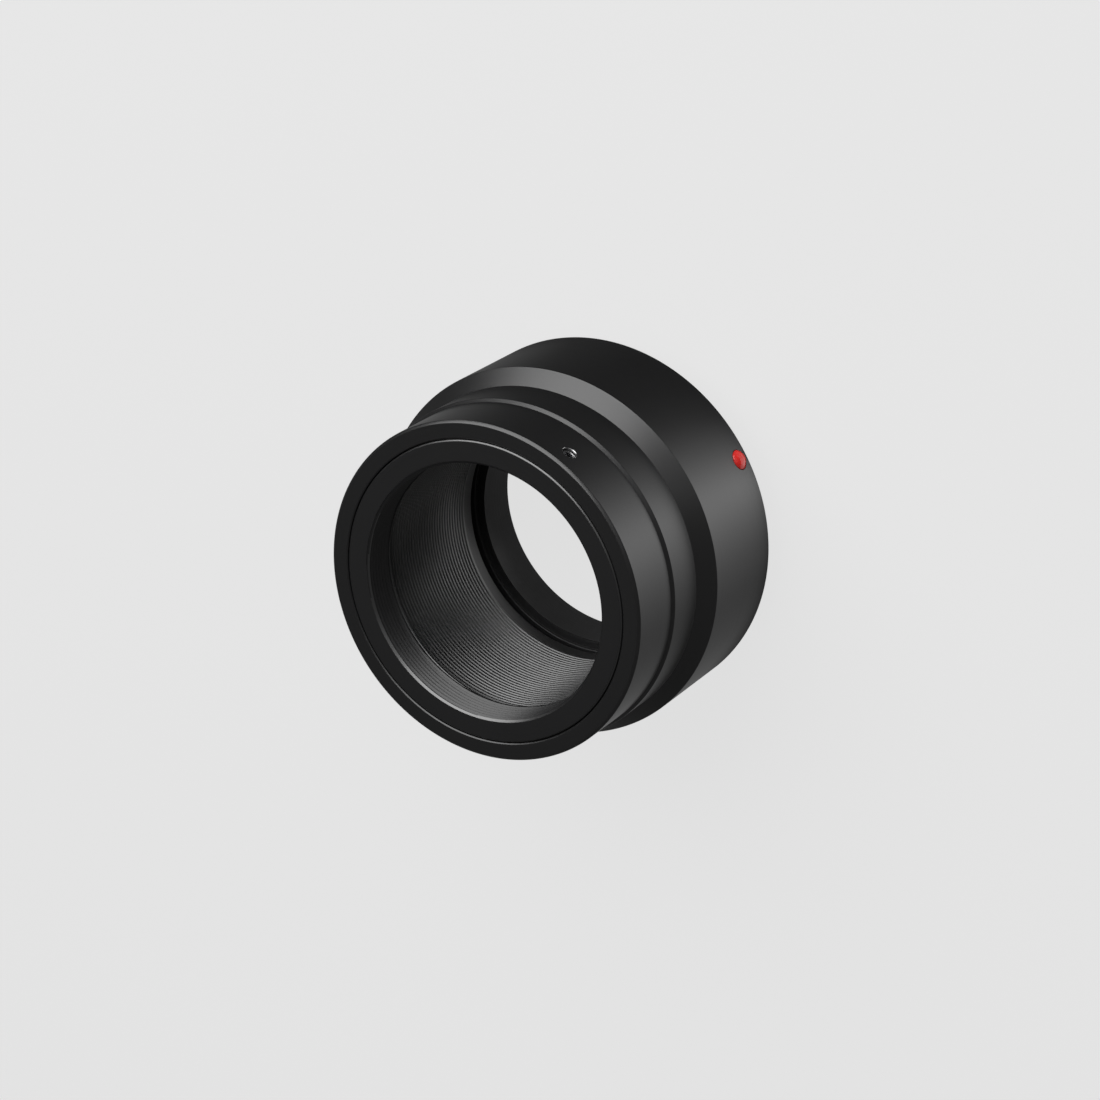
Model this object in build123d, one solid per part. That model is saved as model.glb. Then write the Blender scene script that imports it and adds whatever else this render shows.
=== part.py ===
from build123d import *
import math
import os

# Lens mount adapter, in millimetres. The optical axis is Z, the bayonet's seating face is at z = 0,
# and the threaded front looks up +Z. The index bead is on the -Y side.

# Thread ring, M42 x 0.75
thread_bore = 41.2
ring_wall = 3.8
ring_length = 6.0
ring_chamfer = 0.25
mouth_chamfer = 0.45
ring_clearance = 0.1
clamp_groove_depth = 0.9     # 90 degree groove that the set screws press into

# Barrel, outside
register_length = 37.0       # seating face of the bayonet to the front face
front_wall = 2.9             # round the thread ring
front_band_length = 9.7      # front face to the small 45 degree step
step_rise = 0.5
cone_setback = 16.9          # front face to the top of the 45 degree cone
cone_rise = 2.4
front_chamfer = 0.4
seat_chamfer = 0.2

# Barrel, inside
baffle_relief = 0.9          # how far the anti-reflection bore lies outside the thread bore
run_out_length = 2.1         # groove between the anti-reflection bore and the bayonet plate
run_out_depth = 2.55
rear_rim = 1.75              # wall round the bayonet plate

# Set screws, M2.5 with a hexagon socket and a 90 degree cone point
set_screw_angles = (-60, 60, 180)
set_screw_diameter = 2.5
set_screw_setback = 3.7      # front face to the screws' axes
set_screw_sink = 0.45        # depth of the socket end below the band's surface
set_screw_clearance = 0.03
point_clearance = 0.1        # between the point and the floor of the clamp groove
socket_across_flats = 1.3
socket_depth = 1.2

# Index bead
bead_angle = -90
bead_diameter = 3.15
bead_height = 0.8            # how far the dome stands out of the barrel
bead_setback = 2.65          # seating face to the bead's axis
bead_stem = 1.2
bead_clearance = 0.02

# Bayonet plate
plate_thickness = 3.4
plate_proud = 0.1            # how far the seating face stands out of the barrel's rear end
plate_clearance = 0.05
aperture_edge = 1.0          # how far the plate's bore stands inside the anti-reflection bore
lip_width = 1.5
lip_depth = 0.5
tube_wall = 1.2
tube_length = 4.7            # seating face to the free end of the bayonet

# Bayonet claws
claw_count = 3
claw_rise = 1.25
claw_gap = 1.6               # seating face to the claws' gripping side
claw_thickness = 1.5
claw_arc = 58
claw_chamfer = 0.3
claw_first_angle = -119      # trailing end of the first claw
ramp_length = 7.0
ramp_drop = 0.45
relief_depth = 0.3           # hollow round the tube, so that only the outer land seats
relief_margin = 0.25         # how far the hollow reaches past the claws

# Slot for the camera's lock pin
lock_angle = -30
lock_inset = 3.2             # plate's rim to the slot's middle
lock_width = 2.6
lock_length = 3.6
lock_depth = 1.1

# Plate screws, M2 countersunk
plate_screw_angles = (30, 150, 270)
plate_screw_diameter = 2.0
plate_screw_head = 3.6
plate_screw_head_height = 0.8
plate_screw_sink = 0.1
plate_screw_grip = 3.0       # thread length in the barrel
plate_screw_clearance = 0.03
plate_hole_spare = 0.5       # hole left beyond the screw's tip
drive_span = 1.7
drive_width = 0.45
drive_depth = 0.55

# Radii that follow from the thread outwards
thread_radius = thread_bore / 2
ring_radius = thread_radius + ring_wall
ring_seat_radius = ring_radius + ring_clearance
front_radius = ring_seat_radius + front_wall
middle_radius = front_radius + step_rise
rear_radius = middle_radius + cone_rise
baffle_radius = thread_radius + baffle_relief
run_out_radius = baffle_radius + run_out_depth
recess_radius = rear_radius - rear_rim
plate_radius = recess_radius - plate_clearance
aperture_radius = baffle_radius - aperture_edge
tube_radius = aperture_radius + tube_wall
claw_radius = tube_radius + claw_rise
plate_screw_radius = (run_out_radius + plate_radius) / 2

# Heights that follow from the front face and the seating face
ring_end = register_length - ring_length
set_screw_height = register_length - set_screw_setback
baffle_end = plate_thickness + run_out_length

# Set screws from the clamp groove outwards
set_screw_radius = set_screw_diameter / 2
groove_floor = ring_radius - clamp_groove_depth
set_screw_tip = groove_floor + point_clearance
set_screw_length = front_radius - set_screw_sink - set_screw_tip


def turned(points, arc=360):
    """Solid swept about the optical axis from a closed outline of (radius, height) points."""
    outline = Polyline([(radius, 0, height) for radius, height in points], close=True)
    return revolve(make_face(outline), Axis.Z, arc)


def round_bar(radius, start, end):
    """Straight round bar along local Z."""
    return Pos(0, 0, start) * Cylinder(radius, end - start, align=(Align.CENTER, Align.CENTER, Align.MIN))


def radial(angle, radius, height):
    """Place on the side of the barrel, with local Z pointing straight out."""
    return Rot(0, 0, angle) * Pos(radius, 0, height) * Rot(0, 90, 0)


def make_barrel():
    step_top = register_length - front_band_length
    cone_top = register_length - cone_setback
    seat_floor = ring_end - ring_clearance
    body = turned([
        (ring_seat_radius + seat_chamfer, register_length),
        (front_radius - front_chamfer, register_length),
        (front_radius, register_length - front_chamfer),
        (front_radius, step_top),
        (middle_radius, step_top - step_rise),
        (middle_radius, cone_top),
        (rear_radius, cone_top - cone_rise),
        (rear_radius, plate_proud),
        (recess_radius, plate_proud),
        (recess_radius, plate_thickness),
        (run_out_radius, plate_thickness),
        (run_out_radius, baffle_end),
        (baffle_radius, baffle_end),
        (baffle_radius, seat_floor),
        (ring_seat_radius, seat_floor),
        (ring_seat_radius, register_length - seat_chamfer),
    ])
    tapped = round_bar(set_screw_radius + set_screw_clearance, 0, front_radius)
    for angle in set_screw_angles:
        body -= radial(angle, groove_floor, set_screw_height) * tapped
    body -= radial(bead_angle, rear_radius - bead_stem, bead_setback) * round_bar(
        bead_diameter / 2 + bead_clearance, 0, bead_stem + bead_height
    )
    plate_hole = round_bar(
        plate_screw_diameter / 2 + plate_screw_clearance,
        0,
        plate_thickness + plate_screw_grip + plate_hole_spare,
    )
    for angle in plate_screw_angles:
        body -= Rot(0, 0, angle) * Pos(plate_screw_radius, 0, 0) * plate_hole
    return body


def make_thread_ring():
    return turned([
        (thread_radius + mouth_chamfer, register_length),
        (ring_radius - ring_chamfer, register_length),
        (ring_radius, register_length - ring_chamfer),
        (ring_radius, set_screw_height + clamp_groove_depth),
        (groove_floor, set_screw_height),
        (ring_radius, set_screw_height - clamp_groove_depth),
        (ring_radius, ring_end),
        (thread_radius, ring_end),
        (thread_radius, register_length - mouth_chamfer),
    ])


def make_set_screw(angle):
    screw = turned([
        (0, 0),
        (set_screw_radius, set_screw_radius),
        (set_screw_radius, set_screw_length),
        (0, set_screw_length),
    ])
    hexagon = RegularPolygon(socket_across_flats / 2, 6, major_radius=False)
    screw -= Pos(0, 0, set_screw_length - socket_depth) * extrude(hexagon, socket_depth)
    return radial(angle, set_screw_tip, set_screw_height) * screw


def make_index_bead():
    radius = bead_diameter / 2
    dome_radius = (radius**2 + bead_height**2) / (2 * bead_height)
    dome = Pos(0, 0, bead_stem + bead_height - dome_radius) * Sphere(dome_radius)
    dome &= round_bar(radius, bead_stem, bead_stem + bead_height)
    bead = round_bar(radius, 0, bead_stem) + dome
    return radial(bead_angle, rear_radius - bead_stem, bead_setback) * bead


def make_claw():
    # One claw from its trailing end at angle 0, with the gripping side ramped at the leading end.
    root = tube_radius - tube_wall / 2
    claw = turned([
        (root, -claw_gap),
        (claw_radius, -claw_gap),
        (claw_radius, -claw_gap - claw_thickness + claw_chamfer),
        (claw_radius - claw_chamfer, -claw_gap - claw_thickness),
        (root, -claw_gap - claw_thickness),
    ], claw_arc)
    slope = math.degrees(math.atan2(ramp_drop, ramp_length))
    ramp_start = claw_arc - math.degrees(ramp_length / claw_radius)
    cutter = Box(claw_radius, 2 * ramp_length, claw_thickness, align=(Align.CENTER, Align.MIN, Align.MIN))
    return claw - Rot(0, 0, ramp_start) * Pos(claw_radius, 0, -claw_gap) * Rot(-slope, 0, 0) * cutter


def make_bayonet_plate():
    lip_radius = aperture_radius + lip_width
    relief_radius = claw_radius + relief_margin
    body = turned([
        (aperture_radius, -tube_length),
        (tube_radius, -tube_length),
        (tube_radius, relief_depth),
        (relief_radius, relief_depth),
        (relief_radius, 0),
        (plate_radius, 0),
        (plate_radius, plate_thickness),
        (lip_radius, plate_thickness),
        (lip_radius, plate_thickness - lip_depth),
        (aperture_radius, plate_thickness - lip_depth),
    ])
    claw = make_claw()
    for index in range(claw_count):
        body += Rot(0, 0, claw_first_angle + index * 360 / claw_count) * claw
    slot = extrude(SlotOverall(lock_length, lock_width), lock_depth)
    body -= Rot(0, 0, lock_angle) * Pos(plate_radius - lock_inset, 0, 0) * Rot(0, 0, 90) * slot
    shank = plate_screw_diameter / 2 + plate_screw_clearance
    head = plate_screw_head / 2 + plate_screw_clearance
    countersunk = turned([
        (0, 0),
        (head + plate_screw_sink, 0),
        (shank, plate_screw_sink + plate_screw_head_height),
        (shank, plate_thickness),
        (0, plate_thickness),
    ])
    for angle in plate_screw_angles:
        body -= Rot(0, 0, angle) * Pos(plate_screw_radius, 0, 0) * countersunk
    return body


def make_plate_screws():
    screw = turned([
        (0, plate_screw_sink),
        (plate_screw_head / 2, plate_screw_sink),
        (plate_screw_diameter / 2, plate_screw_sink + plate_screw_head_height),
        (plate_screw_diameter / 2, plate_thickness + plate_screw_grip),
        (0, plate_thickness + plate_screw_grip),
    ])
    for turn in (0, 90):
        screw -= Rot(0, 0, turn) * Pos(0, 0, plate_screw_sink) * Box(
            drive_span, drive_width, drive_depth, align=(Align.CENTER, Align.CENTER, Align.MIN)
        )
    return Compound(children=[
        Rot(0, 0, angle) * Pos(plate_screw_radius, 0, 0) * screw for angle in plate_screw_angles
    ])


parts = {
    "barrel": make_barrel(),
    "thread_ring": make_thread_ring(),
    "index_bead": make_index_bead(),
    "bayonet_plate": make_bayonet_plate(),
    "plate_screws": make_plate_screws(),
}
for number, angle in enumerate(set_screw_angles, start=1):
    parts[f"set_screw_{number}"] = make_set_screw(angle)

os.makedirs("parts", exist_ok=True)
for node, solid in parts.items():
    export_step(solid, f"parts/{node}.step")
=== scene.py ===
import bmesh
import bpy
import math
from mathutils import Matrix, Quaternion, Vector


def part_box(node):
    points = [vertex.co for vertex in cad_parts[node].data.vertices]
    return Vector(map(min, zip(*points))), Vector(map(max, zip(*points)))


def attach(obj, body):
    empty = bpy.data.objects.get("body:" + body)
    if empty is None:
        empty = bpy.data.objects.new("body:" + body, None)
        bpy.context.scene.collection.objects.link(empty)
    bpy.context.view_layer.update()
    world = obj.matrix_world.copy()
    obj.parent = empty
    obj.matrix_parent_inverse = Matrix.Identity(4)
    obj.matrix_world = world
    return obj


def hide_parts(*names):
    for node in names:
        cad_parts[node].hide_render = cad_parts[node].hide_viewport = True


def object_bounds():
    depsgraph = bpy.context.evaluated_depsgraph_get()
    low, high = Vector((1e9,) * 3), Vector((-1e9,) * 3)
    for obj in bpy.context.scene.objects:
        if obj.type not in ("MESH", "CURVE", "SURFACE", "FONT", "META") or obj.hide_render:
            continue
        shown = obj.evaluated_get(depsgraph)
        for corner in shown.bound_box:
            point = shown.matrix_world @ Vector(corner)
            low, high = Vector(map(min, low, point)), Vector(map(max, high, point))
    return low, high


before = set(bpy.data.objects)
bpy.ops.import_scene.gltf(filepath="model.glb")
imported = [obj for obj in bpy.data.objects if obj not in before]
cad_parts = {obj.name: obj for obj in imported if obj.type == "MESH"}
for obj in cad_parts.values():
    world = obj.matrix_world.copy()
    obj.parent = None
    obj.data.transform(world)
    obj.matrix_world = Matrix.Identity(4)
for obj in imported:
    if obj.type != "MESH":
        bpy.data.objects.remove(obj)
cad_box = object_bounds()

# The adapter stands on its bayonet with the optical axis along Z and the threaded front up.
# Sizes are in metres, written as millimetres times MM. Those of the solids come from model.glb.
MM = 0.001
barrel_low, barrel_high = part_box("barrel")
ring_low, ring_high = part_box("thread_ring")
plate_low, plate_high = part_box("bayonet_plate")
bead_low, bead_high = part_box("index_bead")
screw_low, screw_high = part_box("set_screw_3")

FRONT = barrel_high.z
RING_END = ring_low.z
PLATE_TOP = plate_high.z
TUBE_END = plate_low.z

# Barrel
STEP_RISE = 0.5 * MM
CONE_RISE = 2.4 * MM
STEP_TOP = FRONT - 9.7 * MM
CONE_TOP = FRONT - 16.9 * MM
REAR_RADIUS = barrel_high.x
MIDDLE_RADIUS = REAR_RADIUS - CONE_RISE
FRONT_RADIUS = MIDDLE_RADIUS - STEP_RISE
FRONT_CHAMFER = 0.4 * MM
REAR_CHAMFER = 0.25 * MM
SEAT_CHAMFER = 0.2 * MM
RING_FIT = 0.1 * MM
RING_RADIUS = ring_high.x
SEAT_RADIUS = RING_RADIUS + RING_FIT
SEAT_FLOOR = RING_END - RING_FIT
PLATE_RADIUS = plate_high.x
PLATE_FIT = 0.05 * MM
RECESS_RADIUS = PLATE_RADIUS + PLATE_FIT
BORE_RADIUS = 21.5 * MM
RUN_OUT_RADIUS = 24.05 * MM
RUN_OUT_TOP = PLATE_TOP + 2.1 * MM

# Meshes
TURNED_EDGE = 0.06 * MM
ROUND_STEPS = 360
WELD = 0.001 * MM
ON_WALL = 0.01 * MM
CREASE = math.radians(35)
THREAD_CREASE = math.radians(6)  # low, so that a thread keeps its edges where it fades
PLAIN_SLOT = 0
CUT_SLOT = 1
BARE_SLOT = 2

# Fine thread that keeps the bore from shining
BAFFLE_PITCH = 0.75 * MM
BAFFLE_DEPTH = 0.39 * MM
BAFFLE_FLATS = (0.38, 0.10)      # crest and root, as shares of the pitch
BAFFLE_LOW = RUN_OUT_TOP + 2.1 * MM
BAFFLE_HIGH = SEAT_FLOOR - 0.5 * MM

# Thread ring, M42 x 0.75
THREAD_PITCH = 0.75 * MM
THREAD_DEPTH = 0.406 * MM
THREAD_FLATS = (0.06, 0.20)
THREAD_CUTS = 2
THREAD_END = 0.004 * MM          # what ends this near the front face is set on it
CUT_SLOPE = (0.6, 0.8)           # upward lean of the faces that break the ring's edges
THREAD_RADIUS = 20.6 * MM
MOUTH_CHAMFER = 0.45 * MM
RING_CHAMFER = 0.25 * MM
RING_TAIL_CHAMFER = 0.2 * MM
CLAMP_GROOVE = 0.9 * MM

# Set screws, M2.5 x 0.45
SCREW_HEIGHT = (screw_low.z + screw_high.z) / 2
SCREW_TIP = -screw_high.x
SCREW_LENGTH = screw_high.x - screw_low.x
SCREW_ANGLES = {1: -60, 2: 60, 3: 180}
SCREW_PITCH = 0.45 * MM
SCREW_CREST = 1.13 * MM
SCREW_ROOT = 0.98 * MM
SCREW_FLATS = (0.15, 0.2)
SCREW_BEVEL = 0.14 * MM
SCREW_STEPS = 48
SOCKET_FLATS = 1.3 * MM
SOCKET_DEPTH = 1.2 * MM
TAPPED_CREST = 1.16 * MM
TAPPED_ROOT = 1.28 * MM
TAPPED_FLANK = 0.4               # as a share of the pitch
TAPPED_CHAMFER = 0.08 * MM

# Index bead
BEAD_ANGLE = -90
BEAD_HEIGHT = (bead_low.z + bead_high.z) / 2
BEAD_RADIUS = (bead_high.x - bead_low.x) / 2
BEAD_FOOT = -bead_high.y
BEAD_TOP = -bead_low.y - BEAD_FOOT
BEAD_DOME = BEAD_FOOT + BEAD_TOP - REAR_RADIUS
BEAD_FIT = 0.02 * MM
BEAD_MOUTH = 0.16 * MM
BEAD_STEPS = 96

# Bayonet plate
APERTURE_RADIUS = 20.5 * MM
LIP_RADIUS = 22.0 * MM
LIP_DEPTH = 0.5 * MM
LIP_BEVEL = 0.15 * MM
TUBE_RADIUS = 21.7 * MM
TUBE_WALL = TUBE_RADIUS - APERTURE_RADIUS
TUBE_CHAMFER = 0.25 * MM
PLATE_CHAMFER = 0.2 * MM
CLAW_RADIUS = 22.95 * MM
CLAW_GAP = 1.6 * MM
CLAW_THICKNESS = 1.5 * MM
CLAW_CHAMFER = 0.3 * MM
CLAW_ARC = 58
CLAW_FIRST = -119
CLAW_COUNT = 3
RAMP_LENGTH = 7.0 * MM
RAMP_DROP = 0.45 * MM
RELIEF_RADIUS = 23.2 * MM
RELIEF_DEPTH = 0.3 * MM
LOCK_ANGLE = -30
LOCK_RADIUS = PLATE_RADIUS - 3.2 * MM
LOCK_WIDTH = 2.6 * MM
LOCK_LENGTH = 3.6 * MM
LOCK_DEPTH = 1.1 * MM
LOCK_STEPS = 24

# Plate screws, M2 countersunk
PLATE_SCREW_ANGLES = (30, 150, 270)
PLATE_SCREW_RADIUS = (RUN_OUT_RADIUS + PLATE_RADIUS) / 2
PLATE_SCREW_SHANK = 1.0 * MM
PLATE_SCREW_HEAD = 1.8 * MM
PLATE_SCREW_SINK = 0.1 * MM
PLATE_SCREW_CONE = 0.8 * MM
PLATE_SCREW_END = PLATE_TOP + 3.0 * MM
PLATE_SCREW_FIT = 0.03 * MM
PLATE_SCREW_EDGE = 0.03 * MM
PLATE_HOLE_END = PLATE_SCREW_END + 0.5 * MM
DRIVE_SPAN = 1.7 * MM
DRIVE_WIDTH = 0.45 * MM
DRIVE_DEPTH = 0.55 * MM

# Finishes
DEEP_BLACK = (0.004, 0.004, 0.0043)
RING_BLACK = (0.009, 0.009, 0.0094)
PLATE_BLACK = (0.026, 0.026, 0.0265)
FINE_LINE = 0.12 * MM
FINE_LINE_HEIGHT = 0.004 * MM

# Studio
FLOOR_HEIGHT = cad_box[0].z
FLOOR_PAPER = 0.09
FLOOR_GLOW = 0.725
CARD_LIFT = 0.3 * MM
CARD_STEPS = 96
# Cards that only gloss sees, painted reflections of light and shade: where they lie and how bright they glow
FOOT_RADIUS = 33 * MM
FAR_RADIUS = 80 * MM
WALL_RADIUS = 0.9
WALL_HEIGHT = 0.22
PAINTED_SHADE_GLOW = 0.05
FAR_LIGHT = 0.08
ROOM_LIGHT = 0.065
PLATE_LIGHT = 0.08
STREAK_RIM = 16 * MM
SOFTBOX_DISTANCE = 0.55
CAMERA_PLACE = Vector((0.035105, -0.281411, 0.395161))
CAMERA_LOOK = Vector((-0.074108, 0.594803, -0.800448))
CAMERA_UP = Vector((0.892606, -0.318366, -0.319214))
CAMERA_LENS = 98.40
SENSOR_WIDTH = 36.0


# Mesh tools

def spun_wire(points, closed, edge, steps):
    """Shell turned about Z from (radius, height) points, with its corners rounded to the edge size."""
    bm = bmesh.new()
    corners = [bm.verts.new((radius, 0, height)) for radius, height in points]
    for first, second in zip(corners, corners[1:]):
        bm.edges.new((first, second))
    if closed:
        bm.edges.new((corners[-1], corners[0]))
    rounded = [corner for corner in corners if len(corner.link_edges) == 2 and corner.co.x > edge]
    bmesh.ops.bevel(
        bm, geom=rounded, offset=edge, affect="VERTICES", segments=2, profile=0.5, material=-1
    )
    bmesh.ops.spin(
        bm, geom=bm.verts[:] + bm.edges[:], axis=(0, 0, 1), angle=math.tau, steps=steps, use_merge=True
    )
    return welded(bm)


def thread_wall(crest, root, plain, pitch, low, high, flats, steps, fade_top=True, cuts=0):
    """Helical thread that fades into a plain circle over its first turn, and at choice over its last."""
    crest_flat, root_flat = flats
    flank = (1 - crest_flat - root_flat) / 2
    tooth = (
        (0, crest),
        (crest_flat, crest),
        (crest_flat + flank, root),
        (1 - flank, root),
    )
    bm = bmesh.new()
    line = []
    for lap in range(math.ceil((high - low) / pitch) + 2):
        for share, radius in tooth:
            line.append(bm.verts.new((radius, 0, low + (lap - 1 + share) * pitch)))
    for first, second in zip(line, line[1:]):
        bm.edges.new((first, second))
    if cuts:
        long_edges = [edge for edge in bm.edges if edge.calc_length() > pitch / 10]
        bmesh.ops.subdivide_edges(bm, edges=long_edges, cuts=cuts)
    bmesh.ops.spin(
        bm,
        geom=bm.verts[:] + bm.edges[:],
        axis=(0, 0, 1),
        angle=math.tau,
        dvec=(0, 0, pitch / steps),
        steps=steps,
        use_merge=False,
    )
    for vert in bm.verts:
        height = min(max(vert.co.z, low), high)
        depth = min(height - low, pitch) / pitch
        if fade_top:
            depth = min(depth, (high - height) / pitch)
        radius = math.hypot(vert.co.x, vert.co.y)
        scale = (plain + (radius - plain) * depth) / radius
        vert.co = (vert.co.x * scale, vert.co.y * scale, height)
    return welded(bm)


def welded(bm):
    """The mesh with its doubles merged and its faces turned outwards."""
    bmesh.ops.remove_doubles(bm, verts=bm.verts[:], dist=WELD)
    bmesh.ops.recalc_face_normals(bm, faces=bm.faces[:])
    return bm


def joined(*parts):
    """One mesh from several."""
    whole = bmesh.new()
    for part in parts:
        mesh = bpy.data.meshes.new("part")
        part.to_mesh(mesh)
        whole.from_mesh(mesh)
        bpy.data.meshes.remove(mesh)
    return whole


def loose_object(name, bm):
    """Object in the scene that holds a mesh for one cut."""
    mesh = bpy.data.meshes.new(name)
    bm.to_mesh(mesh)
    holder = bpy.data.objects.new(name, mesh)
    bpy.context.collection.objects.link(holder)
    return holder


def combined(operation, body, tool):
    """The body with the tool cut out of it, or joined to it."""
    body_object = loose_object("body", body)
    tool_object = loose_object("tool", tool)
    boolean = body_object.modifiers.new("boolean", "BOOLEAN")
    boolean.operation = operation
    boolean.solver = "EXACT"
    boolean.object = tool_object
    shaped = body_object.evaluated_get(bpy.context.evaluated_depsgraph_get())
    result = bmesh.new()
    result.from_mesh(shaped.to_mesh())
    for holder in (body_object, tool_object):
        mesh = holder.data
        bpy.data.objects.remove(holder)
        bpy.data.meshes.remove(mesh)
    return welded(result)


def placed(bm, matrix):
    """Copy of a mesh, moved by a matrix."""
    copy = bm.copy()
    bmesh.ops.transform(copy, matrix=matrix, verts=copy.verts[:])
    return copy


def turn(degrees):
    return Matrix.Rotation(math.radians(degrees), 4, "Z")


def radial(degrees, radius, height):
    """Place on the barrel's side, with local Z pointing straight out."""
    return turn(degrees) @ Matrix.Translation((radius, 0, height)) @ Matrix.Rotation(math.pi / 2, 4, "Y")


def finished(name, bm, body, material, nodes):
    """Scene piece from a mesh, riding on a body in place of its solids."""
    for edge in bm.edges:
        threaded = all(face.material_index == CUT_SLOT for face in edge.link_faces)
        crease = THREAD_CREASE if threaded else CREASE
        edge.smooth = edge.calc_face_angle(0) < crease
    for face in bm.faces:
        face.smooth = True
    mesh = bpy.data.meshes.new(name)
    bm.to_mesh(mesh)
    piece = bpy.data.objects.new(name, mesh)
    bpy.context.collection.objects.link(piece)
    normals = piece.modifiers.new("flat faces", "WEIGHTED_NORMAL")
    normals.keep_sharp = True
    mesh.materials.append(material)
    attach(piece, body)
    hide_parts(*nodes)
    return piece


# Barrel

def tapped_hole():
    """Threaded hole for a set screw, as a solid to cut away, with its mouth at the band's surface."""
    inner_end = SCREW_TIP - SCREW_CREST
    depth = FRONT_RADIUS - inner_end
    outline = [(0, 0), (TAPPED_CREST, 0)]
    for index in range(int(depth / SCREW_PITCH)):
        middle = (index + 0.5) * SCREW_PITCH
        outline.append((TAPPED_CREST, middle - SCREW_PITCH * TAPPED_FLANK))
        outline.append((TAPPED_ROOT, middle))
        outline.append((TAPPED_CREST, middle + SCREW_PITCH * TAPPED_FLANK))
    outline.append((TAPPED_CREST, depth - TAPPED_CHAMFER))
    outline.append((TAPPED_CREST + 2 * TAPPED_CHAMFER, depth + TAPPED_CHAMFER))
    outline.append((0, depth + TAPPED_CHAMFER))
    return spun_wire(outline, False, 0, SCREW_STEPS), inner_end


def in_tapped_hole(face):
    """Whether a face belongs to the thread of one of the set screws' holes."""
    for angle in SCREW_ANGLES.values():
        to_hole = radial(angle, 0, SCREW_HEIGHT).inverted()
        places = [to_hole @ vert.co for vert in face.verts]
        if all(place.z > SEAT_RADIUS and place.xy.length < TAPPED_ROOT + TAPPED_CHAMFER for place in places):
            return True
    return False


def make_barrel(material, cut_material, bare_material):
    outline = [
        (BORE_RADIUS, BAFFLE_HIGH),
        (BORE_RADIUS, SEAT_FLOOR),
        (SEAT_RADIUS, SEAT_FLOOR),
        (SEAT_RADIUS, FRONT - SEAT_CHAMFER),
        (SEAT_RADIUS + SEAT_CHAMFER, FRONT),
        (FRONT_RADIUS - FRONT_CHAMFER, FRONT),
        (FRONT_RADIUS, FRONT - FRONT_CHAMFER),
        (FRONT_RADIUS, STEP_TOP),
        (MIDDLE_RADIUS, STEP_TOP - STEP_RISE),
        (MIDDLE_RADIUS, CONE_TOP),
        (REAR_RADIUS, CONE_TOP - CONE_RISE),
        (REAR_RADIUS, barrel_low.z + REAR_CHAMFER),
        (REAR_RADIUS - REAR_CHAMFER, barrel_low.z),
        (RECESS_RADIUS, barrel_low.z),
        (RECESS_RADIUS, PLATE_TOP),
        (RUN_OUT_RADIUS, PLATE_TOP),
        (RUN_OUT_RADIUS, RUN_OUT_TOP),
        (BORE_RADIUS, RUN_OUT_TOP),
        (BORE_RADIUS, BAFFLE_LOW),
    ]
    body = spun_wire(outline, False, TURNED_EDGE, ROUND_STEPS)
    inner_wall = spun_wire(
        [(BORE_RADIUS, BAFFLE_LOW), (BORE_RADIUS, BAFFLE_HIGH)], False, 0, ROUND_STEPS
    )
    body = welded(joined(body, inner_wall))

    hole, hole_start = tapped_hole()
    cutters = [placed(hole, radial(angle, hole_start, SCREW_HEIGHT)) for angle in SCREW_ANGLES.values()]
    bead_seat = BEAD_RADIUS + BEAD_FIT
    mouth_floor = BEAD_TOP - BEAD_DOME - BEAD_MOUTH
    socket = spun_wire(
        [
            (0, 0),
            (bead_seat, 0),
            (bead_seat, mouth_floor),
            (bead_seat + BEAD_MOUTH, mouth_floor + BEAD_MOUTH),
            (bead_seat + BEAD_MOUTH, BEAD_TOP),
            (0, BEAD_TOP),
        ],
        False, 0, SCREW_STEPS,
    )
    cutters.append(placed(socket, radial(BEAD_ANGLE, BEAD_FOOT, BEAD_HEIGHT)))
    shank = PLATE_SCREW_SHANK + PLATE_SCREW_FIT
    blind = spun_wire(
        [(0, 0), (shank, 0), (shank, PLATE_HOLE_END), (0, PLATE_HOLE_END)], False, 0, SCREW_STEPS
    )
    for angle in PLATE_SCREW_ANGLES:
        cutters.append(placed(blind, turn(angle) @ Matrix.Translation((PLATE_SCREW_RADIUS, 0, 0))))
    body = combined("DIFFERENCE", body, joined(*cutters))

    plain_wall = [
        face for face in body.faces
        if all(abs(vert.co.xy.length - BORE_RADIUS) < ON_WALL for vert in face.verts)
        and BAFFLE_LOW < face.calc_center_median().z < BAFFLE_HIGH
    ]
    bmesh.ops.delete(body, geom=plain_wall, context="FACES")
    baffle = thread_wall(
        BORE_RADIUS, BORE_RADIUS + BAFFLE_DEPTH, BORE_RADIUS, BAFFLE_PITCH, BAFFLE_LOW, BAFFLE_HIGH,
        BAFFLE_FLATS, ROUND_STEPS,
    )
    body = welded(joined(body, baffle))
    for face in body.faces:
        if in_tapped_hole(face):
            face.material_index = BARE_SLOT
        elif all(BAFFLE_LOW < vert.co.z < BAFFLE_HIGH and vert.co.xy.length < SEAT_RADIUS for vert in face.verts):
            face.material_index = CUT_SLOT
        else:
            face.material_index = PLAIN_SLOT
    barrel = finished("barrel_turned", body, "adapter_body", material, ["barrel"])
    barrel.data.materials.append(cut_material)
    barrel.data.materials.append(bare_material)


# Thread ring

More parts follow.
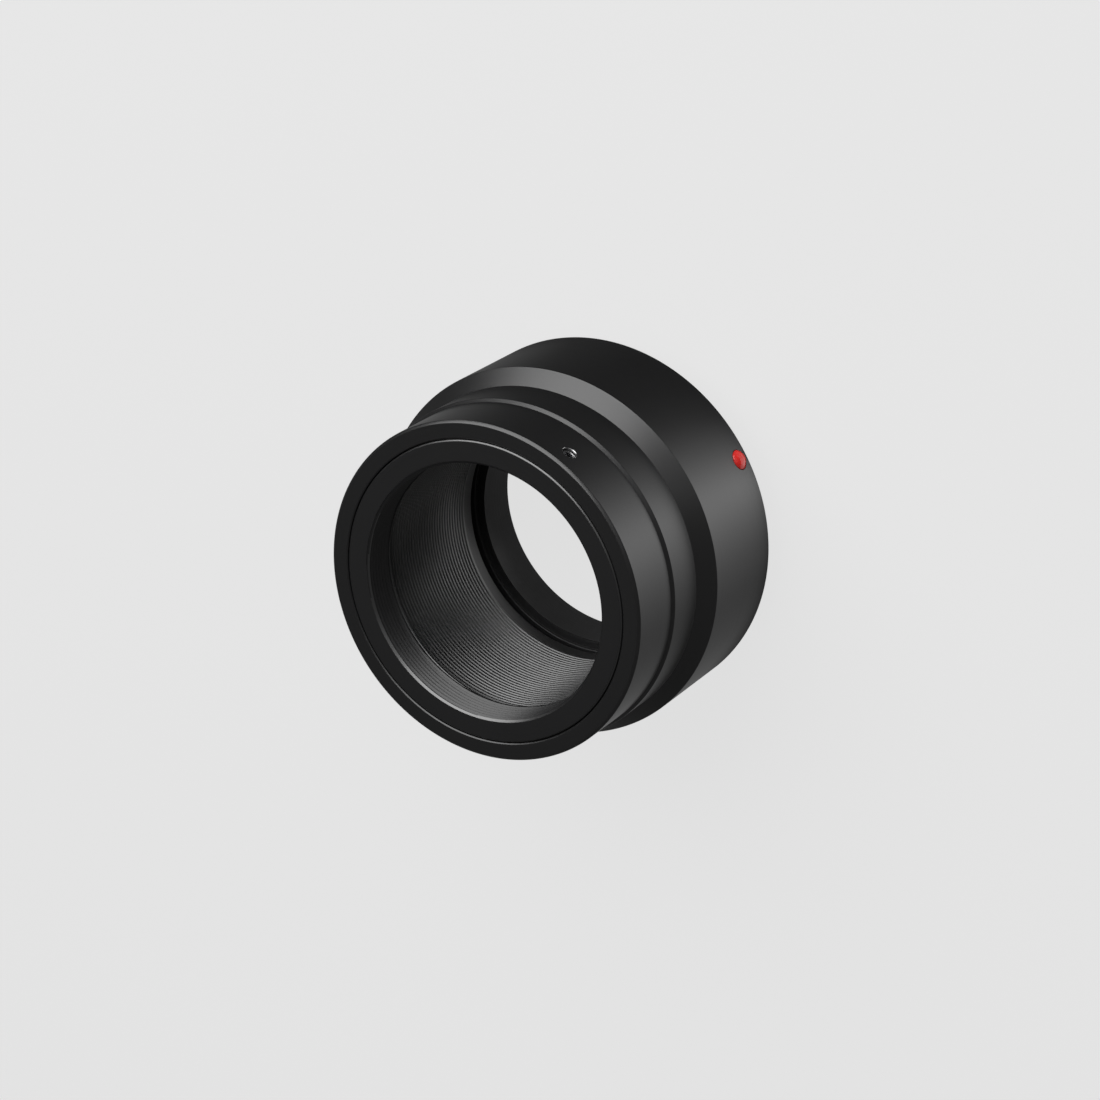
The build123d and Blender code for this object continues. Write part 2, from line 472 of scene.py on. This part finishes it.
def make_thread_ring(material, cut_material):
    mouth_radius = THREAD_RADIUS + MOUTH_CHAMFER
    outline = [
        (mouth_radius, FRONT),
        (RING_RADIUS - RING_CHAMFER, FRONT),
        (RING_RADIUS, FRONT - RING_CHAMFER),
        (RING_RADIUS, SCREW_HEIGHT + CLAMP_GROOVE),
        (RING_RADIUS - CLAMP_GROOVE, SCREW_HEIGHT),
        (RING_RADIUS, SCREW_HEIGHT - CLAMP_GROOVE),
        (RING_RADIUS, RING_END),
        (THREAD_RADIUS + RING_TAIL_CHAMFER, RING_END),
        (THREAD_RADIUS, RING_END + RING_TAIL_CHAMFER),
    ]
    body = spun_wire(outline, False, TURNED_EDGE, ROUND_STEPS)
    thread = thread_wall(
        THREAD_RADIUS, THREAD_RADIUS + THREAD_DEPTH, THREAD_RADIUS, THREAD_PITCH,
        RING_END + RING_TAIL_CHAMFER, FRONT, THREAD_FLATS, ROUND_STEPS, fade_top=False, cuts=THREAD_CUTS,
    )
    for vert in thread.verts:
        if vert.co.z > FRONT - THREAD_END:
            vert.co.z = FRONT
        radius = vert.co.xy.length
        chamfer = mouth_radius - (FRONT - vert.co.z)
        if radius < chamfer:
            vert.co.xy *= chamfer / radius
    body = welded(joined(body, thread))
    for face in body.faces:
        high = face.calc_center_median().z > FRONT - MOUTH_CHAMFER
        sloped = CUT_SLOPE[0] < face.normal.z < CUT_SLOPE[1]
        face.material_index = CUT_SLOT if high and sloped else PLAIN_SLOT
    ring = finished("thread_ring_turned", body, "turning_ring", material, ["thread_ring"])
    ring.data.materials.append(cut_material)


# Set screws

def set_screw_mesh():
    """Set screw along Z, with its point at the origin and its hexagon socket at the top."""
    thread_low = SCREW_ROOT
    thread_high = SCREW_LENGTH - SCREW_BEVEL
    point = spun_wire([(0, 0), (SCREW_ROOT, thread_low)], False, 0, SCREW_STEPS)
    thread = thread_wall(
        SCREW_CREST, SCREW_ROOT, SCREW_ROOT, SCREW_PITCH, thread_low, thread_high, SCREW_FLATS, SCREW_STEPS
    )
    rim = spun_wire(
        [(SCREW_ROOT, thread_high), (SCREW_ROOT - SCREW_BEVEL, SCREW_LENGTH)], False, 0, SCREW_STEPS
    )
    bm = welded(joined(point, thread, rim))
    outer = [edge for edge in bm.edges if edge.is_boundary]
    hexagon = bmesh.ops.create_circle(
        bm, segments=6, radius=SOCKET_FLATS / math.sqrt(3), matrix=Matrix.Translation((0, 0, SCREW_LENGTH))
    )
    sides = list({edge for vert in hexagon["verts"] for edge in vert.link_edges})
    split = bmesh.ops.subdivide_edges(bm, edges=sides, cuts=SCREW_STEPS // 6 - 1)
    sides = [edge for edge in split["geom"] if isinstance(edge, bmesh.types.BMEdge)]
    bmesh.ops.bridge_loops(bm, edges=outer + sides)
    walls = bmesh.ops.extrude_edge_only(bm, edges=sides)
    floor_verts = [item for item in walls["geom"] if isinstance(item, bmesh.types.BMVert)]
    floor_edges = [
        item for item in walls["geom"]
        if isinstance(item, bmesh.types.BMEdge) and all(vert in floor_verts for vert in item.verts)
    ]
    bmesh.ops.translate(bm, vec=(0, 0, -SOCKET_DEPTH), verts=floor_verts)
    bmesh.ops.contextual_create(bm, geom=floor_edges)
    return welded(bm)


def make_set_screws(material):
    screw = set_screw_mesh()
    for number, angle in SCREW_ANGLES.items():
        finished(
            f"set_screw_{number}_threaded",
            placed(screw, radial(angle, SCREW_TIP, SCREW_HEIGHT)),
            f"clamp_screw_{number}", material, [f"set_screw_{number}"],
        )


# Index bead

def make_bead(material):
    stem = BEAD_TOP - BEAD_DOME
    dome_radius = (BEAD_RADIUS ** 2 + BEAD_DOME ** 2) / (2 * BEAD_DOME)
    reach = math.asin(BEAD_RADIUS / dome_radius)
    outline = [(0, 0), (BEAD_RADIUS, 0)]
    rings = BEAD_STEPS // 4
    for index in range(rings + 1):
        angle = reach * (1 - index / rings)
        outline.append((dome_radius * math.sin(angle), stem + BEAD_DOME - dome_radius * (1 - math.cos(angle))))
    dome = spun_wire(outline, False, 0, BEAD_STEPS)
    finished(
        "index_bead_glossy", placed(dome, radial(BEAD_ANGLE, BEAD_FOOT, BEAD_HEIGHT)), "adapter_body",
        material, ["index_bead"],
    )


# Bayonet plate

def claw_mesh():
    """Bayonet claw from its trailing end at angle 0, with a ramp at its leading end."""
    root = TUBE_RADIUS - TUBE_WALL / 2
    bottom = -CLAW_GAP - CLAW_THICKNESS
    bm = bmesh.new()
    corners = [
        (root, -CLAW_GAP),
        (CLAW_RADIUS, -CLAW_GAP),
        (CLAW_RADIUS, bottom + CLAW_CHAMFER),
        (CLAW_RADIUS - CLAW_CHAMFER, bottom),
        (root, bottom),
    ]
    verts = [bm.verts.new((radius, 0, height)) for radius, height in corners]
    edges = [bm.edges.new(pair) for pair in zip(verts, verts[1:] + verts[:1])]
    bmesh.ops.spin(
        bm, geom=verts + edges, axis=(0, 0, 1), angle=math.radians(CLAW_ARC), steps=CLAW_ARC, use_merge=False
    )
    bmesh.ops.holes_fill(bm, edges=[edge for edge in bm.edges if edge.is_boundary], sides=len(corners))
    welded(bm)
    slope = math.atan2(RAMP_DROP, RAMP_LENGTH)
    ramp_start = turn(CLAW_ARC - math.degrees(RAMP_LENGTH / CLAW_RADIUS))
    bmesh.ops.bisect_plane(
        bm,
        geom=bm.verts[:] + bm.edges[:] + bm.faces[:],
        plane_co=ramp_start @ Vector((CLAW_RADIUS, 0, -CLAW_GAP)),
        plane_no=ramp_start.to_3x3() @ Vector((0, math.sin(slope), math.cos(slope))),
        clear_outer=True,
    )
    bmesh.ops.holes_fill(bm, edges=[edge for edge in bm.edges if edge.is_boundary], sides=0)
    return welded(bm)


def lock_slot_mesh():
    """Round-ended slot for the camera's lock pin, as a solid to cut away."""
    half = LOCK_WIDTH / 2
    centre = LOCK_LENGTH / 2 - half
    bm = bmesh.new()
    outline = []
    for index in range(LOCK_STEPS):
        angle = math.tau * (index + 0.5) / LOCK_STEPS
        side = math.copysign(centre, math.sin(angle))
        outline.append(bm.verts.new((half * math.cos(angle), side + half * math.sin(angle), -LOCK_DEPTH)))
    face = bm.faces.new(outline)
    grown = bmesh.ops.extrude_face_region(bm, geom=[face])
    top = [item for item in grown["geom"] if isinstance(item, bmesh.types.BMVert)]
    bmesh.ops.translate(bm, vec=(0, 0, 2 * LOCK_DEPTH), verts=top)
    return placed(welded(bm), turn(LOCK_ANGLE) @ Matrix.Translation((LOCK_RADIUS, 0, 0)))


def make_bayonet_plate(material):
    outline = [
        (APERTURE_RADIUS, TUBE_END + TUBE_CHAMFER),
        (APERTURE_RADIUS + TUBE_CHAMFER, TUBE_END),
        (TUBE_RADIUS - TUBE_CHAMFER, TUBE_END),
        (TUBE_RADIUS, TUBE_END + TUBE_CHAMFER),
        (TUBE_RADIUS, RELIEF_DEPTH),
        (RELIEF_RADIUS, RELIEF_DEPTH),
        (RELIEF_RADIUS, 0),
        (PLATE_RADIUS - PLATE_CHAMFER, 0),
        (PLATE_RADIUS, PLATE_CHAMFER),
        (PLATE_RADIUS, PLATE_TOP),
        (LIP_RADIUS + LIP_BEVEL, PLATE_TOP),
        (LIP_RADIUS, PLATE_TOP - LIP_BEVEL / 2),
        (LIP_RADIUS, PLATE_TOP - LIP_DEPTH),
        (APERTURE_RADIUS, PLATE_TOP - LIP_DEPTH),
    ]
    # Half a step of turn keeps the shell's corners off the planes of the claws' ends.
    body = placed(spun_wire(outline, True, TURNED_EDGE, ROUND_STEPS), turn(180 / ROUND_STEPS))
    claw = claw_mesh()
    claws = [placed(claw, turn(CLAW_FIRST + index * 360 / CLAW_COUNT)) for index in range(CLAW_COUNT)]
    body = combined("UNION", body, joined(*claws))

    shank = PLATE_SCREW_SHANK + PLATE_SCREW_FIT
    mouth = PLATE_SCREW_HEAD + PLATE_SCREW_FIT + PLATE_SCREW_SINK
    countersink = spun_wire(
        [
            (0, -PLATE_SCREW_SINK),
            (mouth + PLATE_SCREW_SINK, -PLATE_SCREW_SINK),
            (shank, PLATE_SCREW_SINK + PLATE_SCREW_CONE),
            (shank, PLATE_TOP + PLATE_SCREW_SINK),
            (0, PLATE_TOP + PLATE_SCREW_SINK),
        ],
        False, 0, SCREW_STEPS,
    )
    cutters = [
        placed(countersink, turn(angle) @ Matrix.Translation((PLATE_SCREW_RADIUS, 0, 0)))
        for angle in PLATE_SCREW_ANGLES
    ]
    body = combined("DIFFERENCE", body, joined(lock_slot_mesh(), *cutters))
    finished(
        "bayonet_plate_turned", body, "adapter_body", material, ["bayonet_plate"]
    )


def make_plate_screws(material):
    screw = spun_wire(
        [
            (0, PLATE_SCREW_SINK),
            (PLATE_SCREW_HEAD, PLATE_SCREW_SINK),
            (PLATE_SCREW_SHANK, PLATE_SCREW_SINK + PLATE_SCREW_CONE),
            (PLATE_SCREW_SHANK, PLATE_SCREW_END),
            (0, PLATE_SCREW_END),
        ],
        False, PLATE_SCREW_EDGE, SCREW_STEPS,
    )
    for span, width in ((DRIVE_SPAN, DRIVE_WIDTH), (DRIVE_WIDTH, DRIVE_SPAN)):
        blade = bmesh.new()
        bmesh.ops.create_cube(blade, size=1)
        bmesh.ops.scale(blade, vec=(span, width, 2 * DRIVE_DEPTH), verts=blade.verts[:])
        bmesh.ops.translate(blade, vec=(0, 0, PLATE_SCREW_SINK), verts=blade.verts[:])
        screw = combined("DIFFERENCE", screw, blade)
    screws = [
        placed(screw, turn(angle) @ Matrix.Translation((PLATE_SCREW_RADIUS, 0, 0)))
        for angle in PLATE_SCREW_ANGLES
    ]
    finished(
        "plate_screws_crosshead", joined(*screws), "adapter_body", material,
        ["plate_screws"],
    )


# Materials

def new_material(name):
    material = bpy.data.materials.new(name)
    material.use_nodes = True
    tree = material.node_tree
    tree.nodes.clear()
    return material, tree.nodes, tree.links


def turned_finish(name, colour, roughness, gloss_index, line_size, line_height):
    """Anodised metal with fine tool marks that run round the optical axis."""
    material, nodes, links = new_material(name)
    out = nodes.new("ShaderNodeOutputMaterial")
    shader = nodes.new("ShaderNodeBsdfPrincipled")
    place = nodes.new("ShaderNodeTexCoord")
    split = nodes.new("ShaderNodeSeparateXYZ")
    across = nodes.new("ShaderNodeCombineXYZ")
    length = nodes.new("ShaderNodeVectorMath")
    section = nodes.new("ShaderNodeCombineXYZ")
    marks = nodes.new("ShaderNodeTexNoise")
    mottle = nodes.new("ShaderNodeTexNoise")
    gloss = nodes.new("ShaderNodeMapRange")
    tone = nodes.new("ShaderNodeMix")
    bump = nodes.new("ShaderNodeBump")

    length.operation = "LENGTH"
    marks.inputs["Scale"].default_value = 1 / line_size
    marks.inputs["Detail"].default_value = 2
    mottle.inputs["Scale"].default_value = 90
    mottle.inputs["Detail"].default_value = 3
    gloss.inputs["To Min"].default_value = roughness - 0.05
    gloss.inputs["To Max"].default_value = roughness + 0.05
    tone.data_type = "RGBA"
    tone.inputs["A"].default_value = (*[channel * 0.8 for channel in colour], 1)
    tone.inputs["B"].default_value = (*[channel * 1.2 for channel in colour], 1)
    bump.inputs["Strength"].default_value = 0.5
    bump.inputs["Distance"].default_value = line_height
    shader.inputs["IOR"].default_value = gloss_index

    links.new(place.outputs["Object"], split.inputs[0])
    links.new(split.outputs["X"], across.inputs["X"])
    links.new(split.outputs["Y"], across.inputs["Y"])
    links.new(across.outputs[0], length.inputs[0])
    links.new(length.outputs["Value"], section.inputs["X"])
    links.new(split.outputs["Z"], section.inputs["Y"])
    links.new(section.outputs[0], marks.inputs["Vector"])
    links.new(place.outputs["Object"], mottle.inputs["Vector"])
    links.new(marks.outputs["Fac"], gloss.inputs["Value"])
    links.new(gloss.outputs[0], shader.inputs["Roughness"])
    links.new(mottle.outputs["Fac"], tone.inputs["Factor"])
    links.new(tone.outputs["Result"], shader.inputs["Base Color"])
    links.new(marks.outputs["Fac"], bump.inputs["Height"])
    links.new(bump.outputs[0], shader.inputs["Normal"])
    links.new(shader.outputs[0], out.inputs[0])
    return material


def steel_finish(name, colour, roughness):
    """Steel with fine uneven polish."""
    material, nodes, links = new_material(name)
    out = nodes.new("ShaderNodeOutputMaterial")
    shader = nodes.new("ShaderNodeBsdfPrincipled")
    place = nodes.new("ShaderNodeTexCoord")
    grain = nodes.new("ShaderNodeTexNoise")
    gloss = nodes.new("ShaderNodeMapRange")
    tone = nodes.new("ShaderNodeMix")
    grain.inputs["Scale"].default_value = 4000
    grain.inputs["Detail"].default_value = 4
    gloss.inputs["To Min"].default_value = roughness - 0.08
    gloss.inputs["To Max"].default_value = roughness + 0.08
    tone.data_type = "RGBA"
    tone.inputs["A"].default_value = (*[channel * 0.75 for channel in colour], 1)
    tone.inputs["B"].default_value = (*[channel * 1.25 for channel in colour], 1)
    shader.inputs["Metallic"].default_value = 1
    links.new(place.outputs["Object"], grain.inputs["Vector"])
    links.new(grain.outputs["Fac"], gloss.inputs["Value"])
    links.new(gloss.outputs[0], shader.inputs["Roughness"])
    links.new(grain.outputs["Fac"], tone.inputs["Factor"])
    links.new(tone.outputs["Result"], shader.inputs["Base Color"])
    links.new(shader.outputs[0], out.inputs[0])
    return material


def bead_finish(name):
    """Glossy red enamel with a slightly uneven colour."""
    material, nodes, links = new_material(name)
    out = nodes.new("ShaderNodeOutputMaterial")
    shader = nodes.new("ShaderNodeBsdfPrincipled")
    place = nodes.new("ShaderNodeTexCoord")
    cloud = nodes.new("ShaderNodeTexNoise")
    tone = nodes.new("ShaderNodeMix")
    cloud.inputs["Scale"].default_value = 900
    tone.data_type = "RGBA"
    tone.inputs["A"].default_value = (0.55, 0.016, 0.012, 1)
    tone.inputs["B"].default_value = (0.78, 0.030, 0.024, 1)
    shader.inputs["Roughness"].default_value = 0.14
    shader.inputs["Coat Weight"].default_value = 0.35
    shader.inputs["Coat Roughness"].default_value = 0.05
    links.new(place.outputs["Object"], cloud.inputs["Vector"])
    links.new(cloud.outputs["Fac"], tone.inputs["Factor"])
    links.new(tone.outputs["Result"], shader.inputs["Base Color"])
    links.new(shader.outputs[0], out.inputs[0])
    return material


# Studio

def make_floor():
    bm = bmesh.new()
    bmesh.ops.create_grid(bm, x_segments=1, y_segments=1, size=5)
    bmesh.ops.translate(bm, vec=(0, 0, FLOOR_HEIGHT), verts=bm.verts[:])
    mesh = bpy.data.meshes.new("floor")
    bm.to_mesh(mesh)
    floor = bpy.data.objects.new("floor", mesh)
    bpy.context.collection.objects.link(floor)
    material, nodes, links = new_material("pale_floor")
    out = nodes.new("ShaderNodeOutputMaterial")
    both = nodes.new("ShaderNodeAddShader")
    paper = nodes.new("ShaderNodeBsdfDiffuse")
    glow = nodes.new("ShaderNodeEmission")
    paper.inputs["Color"].default_value = (FLOOR_PAPER, FLOOR_PAPER, FLOOR_PAPER, 1)
    glow.inputs["Strength"].default_value = FLOOR_GLOW
    links.new(paper.outputs[0], both.inputs[0])
    links.new(glow.outputs[0], both.inputs[1])
    links.new(both.outputs[0], out.inputs[0])
    mesh.materials.append(material)


def make_reflection_card(name, outline, mapping_values, gradient, stops):
    """Glowing card turned about Z that only gloss sees, a painted reflection, its glow set by a gradient of (share,
    light) stops.
    """
    bm = spun_wire(outline, False, 0, CARD_STEPS)
    mesh = bpy.data.meshes.new(name)
    bm.to_mesh(mesh)
    card = bpy.data.objects.new(name, mesh)
    bpy.context.collection.objects.link(card)
    material, nodes, links = new_material(name)
    out = nodes.new("ShaderNodeOutputMaterial")
    glow = nodes.new("ShaderNodeEmission")
    place = nodes.new("ShaderNodeTexCoord")
    mapping = nodes.new("ShaderNodeMapping")
    shade = nodes.new("ShaderNodeTexGradient")
    ramp = nodes.new("ShaderNodeValToRGB")
    shade.gradient_type = gradient
    mapping.vector_type = "TEXTURE"
    for socket, value in mapping_values.items():
        mapping.inputs[socket].default_value = value
    brightest = max(light for _, light in stops)
    ramp.color_ramp.elements.remove(ramp.color_ramp.elements[1])
    for index, (share, light) in enumerate(stops):
        stop = ramp.color_ramp.elements.new(share) if index else ramp.color_ramp.elements[0]
        stop.position = share
        stop.color = (light / brightest, light / brightest, light / brightest, 1)
    glow.inputs["Strength"].default_value = brightest
    links.new(place.outputs["Object"], mapping.inputs["Vector"])
    links.new(mapping.outputs[0], shade.inputs["Vector"])
    links.new(shade.outputs["Fac"], ramp.inputs["Fac"])
    links.new(ramp.outputs["Color"], glow.inputs["Color"])
    links.new(glow.outputs[0], out.inputs[0])
    mesh.materials.append(material)
    card.visible_camera = False
    card.visible_diffuse = False
    card.visible_shadow = False
    card.visible_transmission = False


def make_plain_reflection_card(name, outline, light):
    """Glowing card of one even light, a painted reflection."""
    make_reflection_card(name, outline, {}, "SPHERICAL", [(0, light), (1, light)])


def make_cards():
    # Round the foot: painted reflection of floor light and shade, its light by direction from a corner behind the
    # bead, in degrees from the seam.
    seam = 30
    around = ((0, 0.12), (12, 0.19), (32, 0.42), (60, 0.80), (78, 0.75), (92, 0.52), (112, 0.28), (132, 0.22),
              (152, 0.20), (172, 0.38), (192, 0.70), (212, 1.12), (226, 1.32), (240, 1.15), (252, 0.86),
              (272, 0.45), (292, 0.14), (312, 0.06), (332, 0.035), (352, 0.06), (360, 0.12))
    level = FLOOR_HEIGHT + CARD_LIFT
    make_reflection_card(
        "foot_painted_reflection", [(FOOT_RADIUS, level), (FAR_RADIUS, level)],
        {"Location": (-3 * MM, -24 * MM, 0), "Rotation": (0, 0, math.radians(seam - 180))},
        "RADIAL", [(degrees / 360, light) for degrees, light in around],
    )
    # Under the barrel: dark, a painted reflection of the floor in shade.
    make_plain_reflection_card("painted_shade_reflection", [(APERTURE_RADIUS, level), (FOOT_RADIUS, level)], PAINTED_SHADE_GLOW)
    # Beyond that: dim, a painted reflection of the floor.
    make_plain_reflection_card("far_painted_reflection", [(FAR_RADIUS, level), (WALL_RADIUS, level)], FAR_LIGHT)
    # Round the room: a dark band in front of the pale horizon, a painted reflection.
    make_plain_reflection_card("room_painted_reflection", [(WALL_RADIUS, level), (WALL_RADIUS, WALL_HEIGHT)], ROOM_LIGHT)
    # Under the bore: painted reflections, dim below the plate and dark inside, with a painted pale streak that the
    # bore's crests mirror.
    make_plain_reflection_card("plate_painted_reflection", [(STREAK_RIM, level), (APERTURE_RADIUS, level)], PLATE_LIGHT)
    make_reflection_card(
        "bore_painted_streak", [(0, level), (STREAK_RIM, level)],
        {"Location": (-2.6 * MM, 6 * MM, level), "Rotation": (0, 0, math.radians(-17)),
         "Scale": (1.4 * MM, 11 * MM, 1.4 * MM)},
        "SPHERICAL", [(0, 0.01), (0.5, 2.1)],
    )


def make_world():
    """Dim room with a pale horizon."""
    world = bpy.data.worlds.new("studio")
    world.use_nodes = True
    bpy.context.scene.world = world
    nodes = world.node_tree.nodes
    links = world.node_tree.links
    background = nodes["Background"]
    place = nodes.new("ShaderNodeTexCoord")
    split = nodes.new("ShaderNodeSeparateXYZ")
    ramp = nodes.new("ShaderNodeValToRGB")
    ramp.color_ramp.elements[0].position = 0.08
    ramp.color_ramp.elements[0].color = (0.79, 0.79, 0.79, 1)
    ramp.color_ramp.elements[1].position = 0.22
    ramp.color_ramp.elements[1].color = (0.10, 0.10, 0.10, 1)
    links.new(place.outputs["Generated"], split.inputs[0])
    links.new(split.outputs["Z"], ramp.inputs["Fac"])
    links.new(ramp.outputs["Color"], background.inputs["Color"])


def make_softbox(name, azimuth, elevation, roll, width, height, radiance):
    """Area light at a direction from the adapter, facing it and rolled about that direction."""
    lamp = bpy.data.lights.new(name, "AREA")
    lamp.shape = "RECTANGLE"
    lamp.size = width
    lamp.size_y = height
    lamp.energy = radiance * math.pi * width * height
    holder = bpy.data.objects.new(name, lamp)
    level = math.radians(elevation)
    side = math.radians(azimuth)
    aim = Vector((math.cos(level) * math.cos(side), math.cos(level) * math.sin(side), math.sin(level)))
    holder.location = aim * SOFTBOX_DISTANCE
    holder.rotation_mode = "QUATERNION"
    holder.rotation_quaternion = aim.to_track_quat("Z", "Y") @ Quaternion((0, 0, 1), math.radians(roll))
    bpy.context.collection.objects.link(holder)


def make_camera():
    camera = bpy.data.cameras.new("camera")
    camera.lens = CAMERA_LENS
    camera.sensor_width = SENSOR_WIDTH
    camera.clip_start = 0.01
    holder = bpy.data.objects.new("camera", camera)
    look = CAMERA_LOOK.normalized()
    right = look.cross(CAMERA_UP).normalized()
    up = right.cross(look)
    axes = Matrix((right, up, -look)).transposed()
    holder.matrix_world = Matrix.Translation(CAMERA_PLACE) @ axes.to_4x4()
    bpy.context.collection.objects.link(holder)
    bpy.context.scene.camera = holder


bpy.context.scene.view_settings.view_transform = "Standard"
barrel_finish = turned_finish(
    "anodised_barrel", DEEP_BLACK, roughness=0.34, gloss_index=1.8, line_size=FINE_LINE, line_height=FINE_LINE_HEIGHT
)
ring_finish = turned_finish(
    "anodised_ring", RING_BLACK, roughness=0.34, gloss_index=1.68, line_size=FINE_LINE, line_height=FINE_LINE_HEIGHT
)
plate_finish = turned_finish(
    "anodised_plate", PLATE_BLACK, roughness=0.40, gloss_index=1.6, line_size=0.30 * MM, line_height=0.10 * MM
)
cut_finish = turned_finish(
    "anodised_cut", DEEP_BLACK, roughness=0.32, gloss_index=2.3, line_size=FINE_LINE, line_height=FINE_LINE_HEIGHT
)
bare_finish = steel_finish("bare_metal", (0.55, 0.55, 0.55), 0.25)
make_barrel(barrel_finish, cut_finish, bare_finish)
make_thread_ring(ring_finish, cut_finish)
make_set_screws(steel_finish("bright_steel", (0.50, 0.50, 0.51), 0.25))
make_bead(bead_finish("red_enamel"))
make_bayonet_plate(plate_finish)
make_plate_screws(steel_finish("blackened_steel", (0.10, 0.10, 0.105), 0.35))
make_floor()
make_cards()
make_world()
make_softbox("main_softbox", azimuth=-15, elevation=39.7, roll=15.8, width=0.70, height=0.63, radiance=2.65)
make_softbox("side_softbox", azimuth=-74, elevation=35, roll=0, width=0.42, height=0.36, radiance=0.25)
make_camera()
